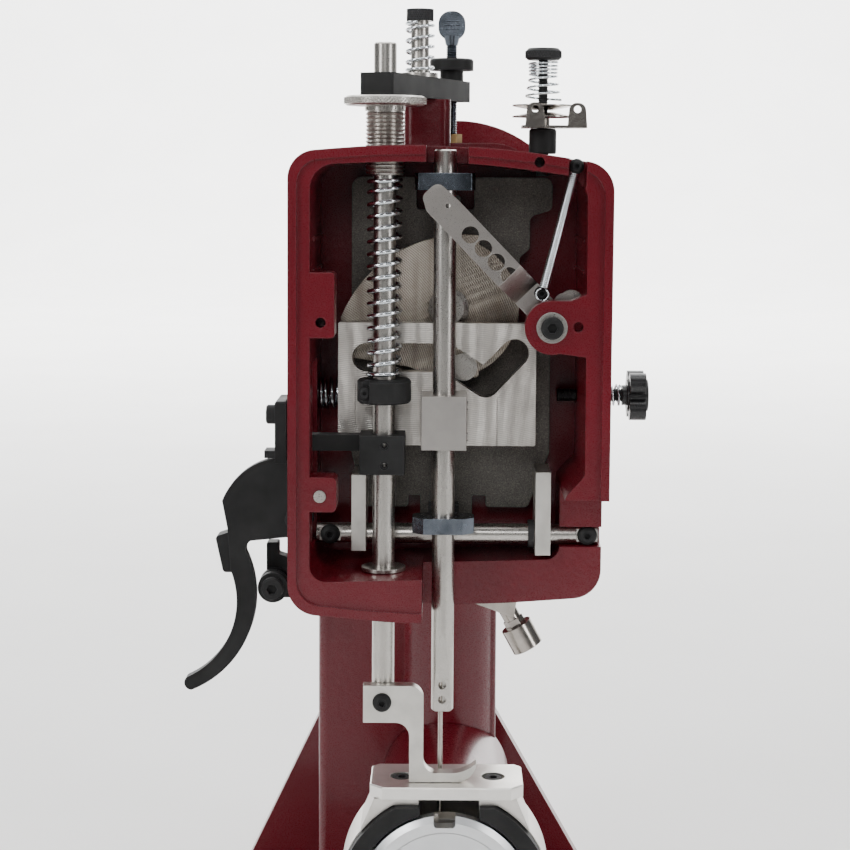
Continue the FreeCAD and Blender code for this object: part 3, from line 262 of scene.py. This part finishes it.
def moulded(name, colour, rough):
    """Black plastic or rubber with a fine moulded grain."""
    mat, tree, shader = new_material(name)
    even = object_coords(tree)
    grain = noise(tree, even, 1700.0, 2.0)
    cloud = noise(tree, even, 60.0, 3.0)
    light = tuple(c * 1.5 for c in colour)
    tree.links.new(ramp(tree, cloud, [(0.3, colour), (0.7, light)]), shader.inputs["Base Color"])
    tree.links.new(remap(tree, grain, 0.3, 0.7, rough - 0.05, rough + 0.08),
                   shader.inputs["Roughness"])
    bump_chain(tree, shader, [(grain, 0.15, 0.0002)], 0.0008)
    return mat


def make_materials():
    return {
        "red_paint": red_paint(),
        "ground_steel": steel("ground_steel", (0.47, 0.45, 0.42), rough=0.29,
                              grain=(1100, 1100, 1600), bump=0.03, spots=0.05, marks=0.2),
        "milled_steel": steel("milled_steel", (0.70, 0.67, 0.63), rough=0.36,
                              grain=(60, 900, 1500), bump=0.16, spots=0.08),
        "upright_milled": steel("upright_milled", (0.66, 0.64, 0.60), rough=0.38,
                                grain=(1500, 900, 60), bump=0.16, spots=0.08),
        "cam_face": fly_cut_steel("cam_face", ((0.09, 0.0, -0.40), (-0.16, 0.0, -0.50)),
                                  dark=(0.33, 0.285, 0.235), light=(0.60, 0.55, 0.48),
                                  marks=0.85, bump=0.60),
        "plate_face": fly_cut_steel("plate_face", ((0.02, 0.0, -0.10), (-0.03, 0.0, -0.05)),
                                    dark=(0.42, 0.395, 0.365), light=(0.68, 0.65, 0.61),
                                    marks=0.40, bump=0.25),
        "long_brushed": steel("long_brushed", (0.44, 0.41, 0.385), rough=0.30,
                              grain=(2600, 900, 2600), bump=0.02, spots=0.05, marks=0.15),
        "plate_steel": steel("plate_steel", (0.80, 0.78, 0.74), rough=0.34,
                             grain=(50, 700, 1500), bump=0.14, spots=0.05),
        "block_steel": steel("block_steel", (0.40, 0.38, 0.36), rough=0.42,
                             grain=(900, 900, 900), bump=0.14, spots=0.06),
        "black_oxide": black_oxide(),
        "zinc_spring": steel("zinc_wire", (0.70, 0.74, 0.77), rough=0.17,
                             grain=(900, 900, 900), bump=0.03, spots=0.06, marks=0.2),
        "zinc_guide": steel("blued_zinc", (0.15, 0.17, 0.20), rough=0.24,
                            grain=(160, 160, 160), bump=0.16, spots=0.32),
        "nickel": steel("nickel_plate", (0.42, 0.385, 0.35), rough=0.20,
                        grain=(300, 300, 300), bump=0.05, spots=0.16),
        "brass": steel("turned_brass", (0.52, 0.36, 0.17), rough=0.34,
                       grain=(200, 200, 1800), bump=0.12),
        "cast_grey": sand_cast(),
        "black_plastic": moulded("black_plastic", (0.006, 0.006, 0.0065), rough=0.30),
        "rubber": moulded("black_rubber", (0.012, 0.011, 0.011), rough=0.62),
        "silver_cover": steel("satin_aluminium", (0.70, 0.71, 0.72), rough=0.33,
                              grain=(500, 500, 500), bump=0.06, spots=0.04),
    }


# Nodes whose machining differs from their slot's usual finish.
SPECIAL = {"drive_cam": "cam_face", "clamp_block": "block_steel", "cam_plate": "plate_face",
           "take_up_lever": "long_brushed", "needle_plate": "plate_steel",
           "feed_bars": "upright_milled", "presser_foot": "upright_milled"}


def dress_nodes(materials):
    slots = {part["node"]: part["material_slot"] for part in frame["record"]["subparts"]}
    for name, obj in frame["nodes"].items():
        mat = materials[SPECIAL.get(name, slots[name])]
        for slot in obj.material_slots:
            slot.material = mat
        if not obj.material_slots:
            obj.data.materials.append(mat)


# ---- mesh helpers ---------------------------------------------------------
def extents(node):
    """Middle, low corner and high corner of a CAD node."""
    low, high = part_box(node)
    return (Vector(low) + Vector(high)) / 2, Vector(low), Vector(high)


def finish_mesh(name, mesh, material, smooth=True):
    bmesh.ops.recalc_face_normals(mesh, faces=mesh.faces)
    data = bpy.data.meshes.new(name)
    mesh.to_mesh(data)
    mesh.free()
    obj = bpy.data.objects.new(name, data)
    bpy.context.scene.collection.objects.link(obj)
    obj.data.materials.append(material)
    for face in obj.data.polygons:
        face.use_smooth = smooth and len(face.vertices) == 4
    return obj


def ring_faces(mesh, first, second):
    """Band of quads between two closed rings of vertices."""
    count = len(first)
    for i in range(count):
        k = (i + 1) % count
        mesh.faces.new((first[i], first[k], second[k], second[i]))


def tube_along(name, points, radius, material, sides):
    """Round wire of one radius through a list of points, closed at both ends."""
    mesh = bmesh.new()
    rings = []
    side = Vector((0.0, 1.0, 0.0))
    last = len(points) - 1
    for i, point in enumerate(points):
        ahead = points[min(i + 1, last)] - points[max(i - 1, 0)]
        ahead.normalize()
        side = (side - ahead * side.dot(ahead)).normalized()
        other = ahead.cross(side)
        ring = []
        for k in range(sides):
            a = 2 * math.pi * k / sides
            spot = point + (side * math.cos(a) + other * math.sin(a)) * radius
            ring.append(mesh.verts.new(spot))
        rings.append(ring)
    for first, second in zip(rings, rings[1:]):
        ring_faces(mesh, first, second)
    mesh.faces.new(list(reversed(rings[0])))
    mesh.faces.new(rings[-1])
    return finish_mesh(name, mesh, material)


# ---- springs --------------------------------------------------------------
END_TURNS = 0.8         # turns at each end of a compression spring that lie nearly flat
END_PITCH = 0.32        # their pitch, as a share of the open turns' pitch
STEPS_PER_TURN = 26


def spring_wire(name, points, wire, node=None, sides=10):
    """Bright wire piece, which stands in for a CAD node where one is named."""
    piece = tube_along(name, points, wire / 2, MATERIALS["zinc_spring"], sides)
    if node:
        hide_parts(node)
    return piece


def coil_points(base, axis, length, radius, turns):
    """Points of a compression spring, whose end turns lie nearly flat."""
    across = axis.orthogonal().normalized()
    other = axis.cross(across)
    last_open = turns - END_TURNS
    whole = 2 * END_TURNS * END_PITCH + turns - 2 * END_TURNS
    steps = int(turns * STEPS_PER_TURN)
    points = []
    for i in range(steps + 1):
        turn = i / steps * turns
        rise = min(turn, END_TURNS) * END_PITCH + max(0.0, min(turn, last_open) - END_TURNS)
        rise += max(0.0, turn - last_open) * END_PITCH
        a = 2 * math.pi * turn
        points.append(base + axis * (length * rise / whole)
                      + across * (radius * math.cos(a)) + other * (radius * math.sin(a)))
    return points


def upright_coil(name, node, wire, turns):
    """Compression spring that fills its CAD node's height and width."""
    middle, low, high = extents(node)
    radius = (high.x - low.x) / 2 - wire / 2
    base = Vector((middle.x, middle.y, low.z + wire / 2))
    points = coil_points(base, UP, high.z - low.z - wire, radius, turns)
    return spring_wire(name, points, wire, node)


def presser_spring():
    """Long spring on the presser bar, which the rising set collar closes on the machine; here it
    keeps its CAD node's height.
    """
    piece = upright_coil("presser_spring_coil", "presser_spring", wire=0.0025, turns=17.0)
    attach(piece, "frame")
    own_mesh(piece)


def shoulder_spring():
    piece = upright_coil("shoulder_coil", "shoulder_spring", wire=0.0018, turns=5.6)
    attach(piece, "frame")


def tension_coil():
    """Beehive spring: wide open turns below, narrow close turns under the knob."""
    middle, low, high = extents("tension_spring")
    wire = 0.0013
    wide_turns, close_turns = 3.0, 4.0
    wide_share, close_share = 0.63, 0.37            # of the spring's height
    widest, wide_step, close_step = 0.0100, -0.0008, 0.0001
    steps = 180
    height = high.z - low.z - wire
    points = []
    for i in range(steps + 1):
        turn = (wide_turns + close_turns) * i / steps
        wide = min(turn, wide_turns)
        close = turn - wide
        rise = height * (wide_share * wide / wide_turns + close_share * close / close_turns)
        radius = widest + wide_step * wide + close_step * close
        a = 2 * math.pi * turn
        points.append(Vector((middle.x + radius * math.cos(a), middle.y + radius * math.sin(a),
                              low.z + wire / 2 + rise)))
    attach(spring_wire("tension_coil", points, wire, "tension_spring"), "frame")


def lying_coils():
    """Springs at both ends of the stitch length stem."""
    middle, low, high = extents("feed_springs")
    right_length = 0.0122
    sizes = (("left_feed_coil", low.x, 0.0142, 0.0090, 0.0019, 4.4),
             ("right_feed_coil", high.x - right_length, right_length, 0.0059, 0.0013, 4.2))
    for name, x, length, radius, wire, turns in sizes:
        base = Vector((x + wire / 2, middle.y, middle.z))
        points = coil_points(base, ALONG_X, length - wire, radius, turns)
        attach(spring_wire(name, points, wire, "feed_springs"), "frame")


def take_up_spring():
    """Close-wound extension spring with an open eye at each end."""
    middle, low, high = extents("take_up_spring")
    wire = 0.0011
    coil_r = 0.0024
    end_inset = 0.0025                              # coil's end, in from the CAD node's side
    eye_r, eye_reach = 0.0034, 0.0038               # eye's centre, beyond the coil's end
    eye_start, eye_sweep, eye_steps = 20, 320, 30   # degrees
    bottom = Vector((low.x + end_inset, middle.y, low.z))
    top = Vector((high.x - end_inset, middle.y, high.z))
    axis = (top - bottom).normalized()
    across = axis.orthogonal().normalized()
    other = axis.cross(across)
    length = (top - bottom).length
    turns = length / wire
    steps = int(turns * 12)
    points = []
    for i in range(steps + 1):
        a = 2 * math.pi * turns * i / steps
        points.append(bottom + axis * (length * i / steps)
                      + (across * math.cos(a) + other * math.sin(a)) * coil_r)
    coil = spring_wire("take_up_coil", points, wire, "take_up_spring", sides=6)
    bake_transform(coil)
    flat = axis.cross(Vector((0, 1, 0))).normalized()
    for name, body, spot, way in (("spring_eye_top", "frame", top + axis * eye_reach, -1),
                                  ("spring_eye_low", "take_up", bottom - axis * eye_reach, 1)):
        ring = []
        for i in range(eye_steps + 1):
            a = math.radians(eye_start + eye_sweep * i / eye_steps)
            ring.append(spot + (axis * (way * math.cos(a)) + flat * math.sin(a)) * eye_r)
        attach(spring_wire(name, ring, wire, sides=8), body)


# ---- knurls and ridges ----------------------------------------------------
KNURL_ROWS = 12
KNURL_STEPS = 6         # steps round each diamond
KNURL_SINK = 0.2        # share of the ridges' depth that lies inside the rim
THIN_LIP = 0.0008


def knurled_band(name, middle, radius, low_z, high_z, diamonds, rise, depth, top_lip, slot, body):
    """Ring of raised diamonds just outside a rim, its ends turned in by a lip."""
    around = diamonds * KNURL_STEPS
    mesh = bmesh.new()
    grid = []
    for j in range(KNURL_ROWS + 1):
        z = low_z + (high_z - low_z) * j / KNURL_ROWS
        line = []
        for i in range(around):
            a = 2 * math.pi * i / around
            u = diamonds * a / (2 * math.pi)
            v = rise * j / KNURL_ROWS
            ridge_a = abs((u + v) % 1.0 - 0.5) * 2
            ridge_b = abs((u - v) % 1.0 - 0.5) * 2
            r = radius + depth * (min(ridge_a, ridge_b) - KNURL_SINK)
            line.append(mesh.verts.new((middle.x + r * math.cos(a),
                                        middle.y + r * math.sin(a), z)))
        grid.append(line)
    for first, second in zip(grid, grid[1:]):
        ring_faces(mesh, first, second)
    for line, inward in ((grid[0], THIN_LIP), (grid[-1], top_lip)):
        lip = []
        for vert in line:
            out = Vector((vert.co.x - middle.x, vert.co.y - middle.y, 0)).normalized()
            lip.append(mesh.verts.new(vert.co - out * inward))
        ring_faces(mesh, line, lip)
    piece = finish_mesh(name, mesh, MATERIALS[slot], smooth=False)
    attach(piece, body)


def knurls():
    """Knurled rims of the pressure disc and the tension knob, and the shoulder bolt's head."""
    middle, low, high = extents("pressure_adjuster")
    knurled_band("disc_knurl", middle, (high.x - low.x) / 2, high.z - 0.0044, high.z - 0.0010,
                 diamonds=64, rise=1.5, depth=0.0007, top_lip=THIN_LIP,
                 slot="ground_steel", body="pressure_adjuster")
    middle, low, high = extents("tension_knob")
    knurled_band("knob_knurl", middle, (high.x - low.x) / 2, low.z + 0.0013, low.z + 0.0049,
                 diamonds=40, rise=1.5, depth=0.0005, top_lip=THIN_LIP,
                 slot="black_oxide", body="tension_knob")
    middle, low, high = extents("shoulder_bolt")
    head_r, socket_r = 0.0077, 0.0039
    knurled_band("bolt_head", middle, head_r, high.z - 0.0067, high.z + 0.0001,
                 diamonds=40, rise=3.0, depth=0.0004, top_lip=head_r - socket_r,
                 slot="black_oxide", body="frame")


def thumb_ridges():
    """Three finger ridges across the thumb screw's blade."""
    middle, _, high = extents("thumb_screw")
    first_drop, spacing = 0.0066, 0.0024            # down from the blade's top
    half_width, tall, proud, blade_front = 0.0048, 0.0013, 0.0006, 0.0015
    # Corners as side, proud of the blade and share of the height; the front is narrower.
    outline = ((-1, 0, 0), (1, 0, 0), (-1, 0, 1), (1, 0, 1),
               (-1, 1, 0.25), (1, 1, 0.25), (-1, 1, 0.75), (1, 1, 0.75))
    faces = ((4, 5, 7, 6), (0, 1, 5, 4), (2, 6, 7, 3), (0, 4, 6, 2), (1, 3, 7, 5), (0, 2, 3, 1))
    mesh = bmesh.new()
    for k in range(3):
        z = high.z - first_drop - spacing * k
        corners = [mesh.verts.new((middle.x + side * half_width,
                                   middle.y - blade_front - out * proud, z + up * tall))
                   for side, out, up in outline]
        for ids in faces:
            mesh.faces.new([corners[i] for i in ids])
    piece = finish_mesh("thumb_ridges", mesh, MATERIALS["zinc_guide"], smooth=False)
    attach(piece, "thumb_screw")


# ---- studio ---------------------------------------------------------------
def floor():
    """Pale floor that curves up into a backdrop."""
    half_width, front, back, top = 14.0, -6.0, 9.0, 7.0
    curve_r, curve_steps = 2.5, 12
    rows = [(front, 0.0)]
    for i in range(curve_steps + 1):
        a = math.radians(90.0 * i / curve_steps)
        rows.append((back - curve_r + curve_r * math.sin(a), curve_r - curve_r * math.cos(a)))
    rows.append((back, top))
    mesh = bmesh.new()
    lines = [(mesh.verts.new((-half_width, y, z)), mesh.verts.new((half_width, y, z)))
             for y, z in rows]
    for (a, b), (c, d) in zip(lines, lines[1:]):
        mesh.faces.new((a, b, d, c))
    mat, tree, shader = new_material("pale_floor")
    cloud = noise(tree, object_coords(tree), 3.0, 3.0)
    tree.links.new(ramp(tree, cloud, [(0.3, (0.86, 0.855, 0.845)), (0.7, (0.90, 0.895, 0.885))]),
                   shader.inputs["Base Color"])
    set_inputs(shader, {"Roughness": 0.75})
    finish_mesh("floor", mesh, mat)


def area_light(name, place, target, size, power):
    data = bpy.data.lights.new(name, "AREA")
    data.shape = "RECTANGLE"
    data.size, data.size_y = size
    data.energy = power
    obj = bpy.data.objects.new(name, data)
    obj.location = place
    obj.rotation_euler = (Vector(target) - Vector(place)).to_track_quat("-Z", "Y").to_euler()
    bpy.context.scene.collection.objects.link(obj)


def lights():
    """Two soft boxes, a front strip and an overhead panel; the backdrop has its own lights."""
    head = (0.0, 0.0, 0.40)
    area_light("key_left", (-1.15, -0.95, 1.15), head, (0.45, 1.2), 15)
    area_light("key_right", (1.25, -0.85, 0.95), head, (0.35, 1.2), 11)
    area_light("front_strip", (-0.12, -1.9, 1.25), head, (0.35, 0.5), 7)
    area_light("overhead", (0.0, -0.15, 1.7), head, (1.2, 0.8), 11)
    area_light("back_wash", (0.0, 4.4, 5.2), (0.0, 8.6, 0.9), (9.0, 2.0), 1900)
    area_light("floor_wash", (0.0, 3.0, 4.6), (0.0, 4.5, 0.0), (9.0, 3.0), 420)
    world = bpy.data.worlds.new("studio")
    world.use_nodes = True
    set_inputs(world.node_tree.nodes["Background"],
               {"Color": (0.95, 0.97, 1.0, 1.0), "Strength": 0.16})
    bpy.context.scene.world = world


def camera():
    """Camera just right of the needle, tipped down and rolled slightly, framed low."""
    tip_down, roll = 0.0747, -0.0065                # radians
    data = bpy.data.cameras.new("front_camera")
    data.sensor_width = 36.0
    data.lens = 77.9
    data.shift_x = -0.0294
    data.shift_y = -0.1358
    data.clip_end = 60.0
    obj = bpy.data.objects.new("front_camera", data)
    obj.location = (0.00257, -1.038, 0.532)
    obj.rotation_euler = (math.pi / 2 - tip_down, roll, 0.0)
    bpy.context.scene.collection.objects.link(obj)
    bpy.context.scene.camera = obj


camera()
MATERIALS = make_materials()
dress_nodes(MATERIALS)
presser_spring()
shoulder_spring()
tension_coil()
take_up_spring()
lying_coils()
knurls()
thumb_ridges()
floor()
lights()
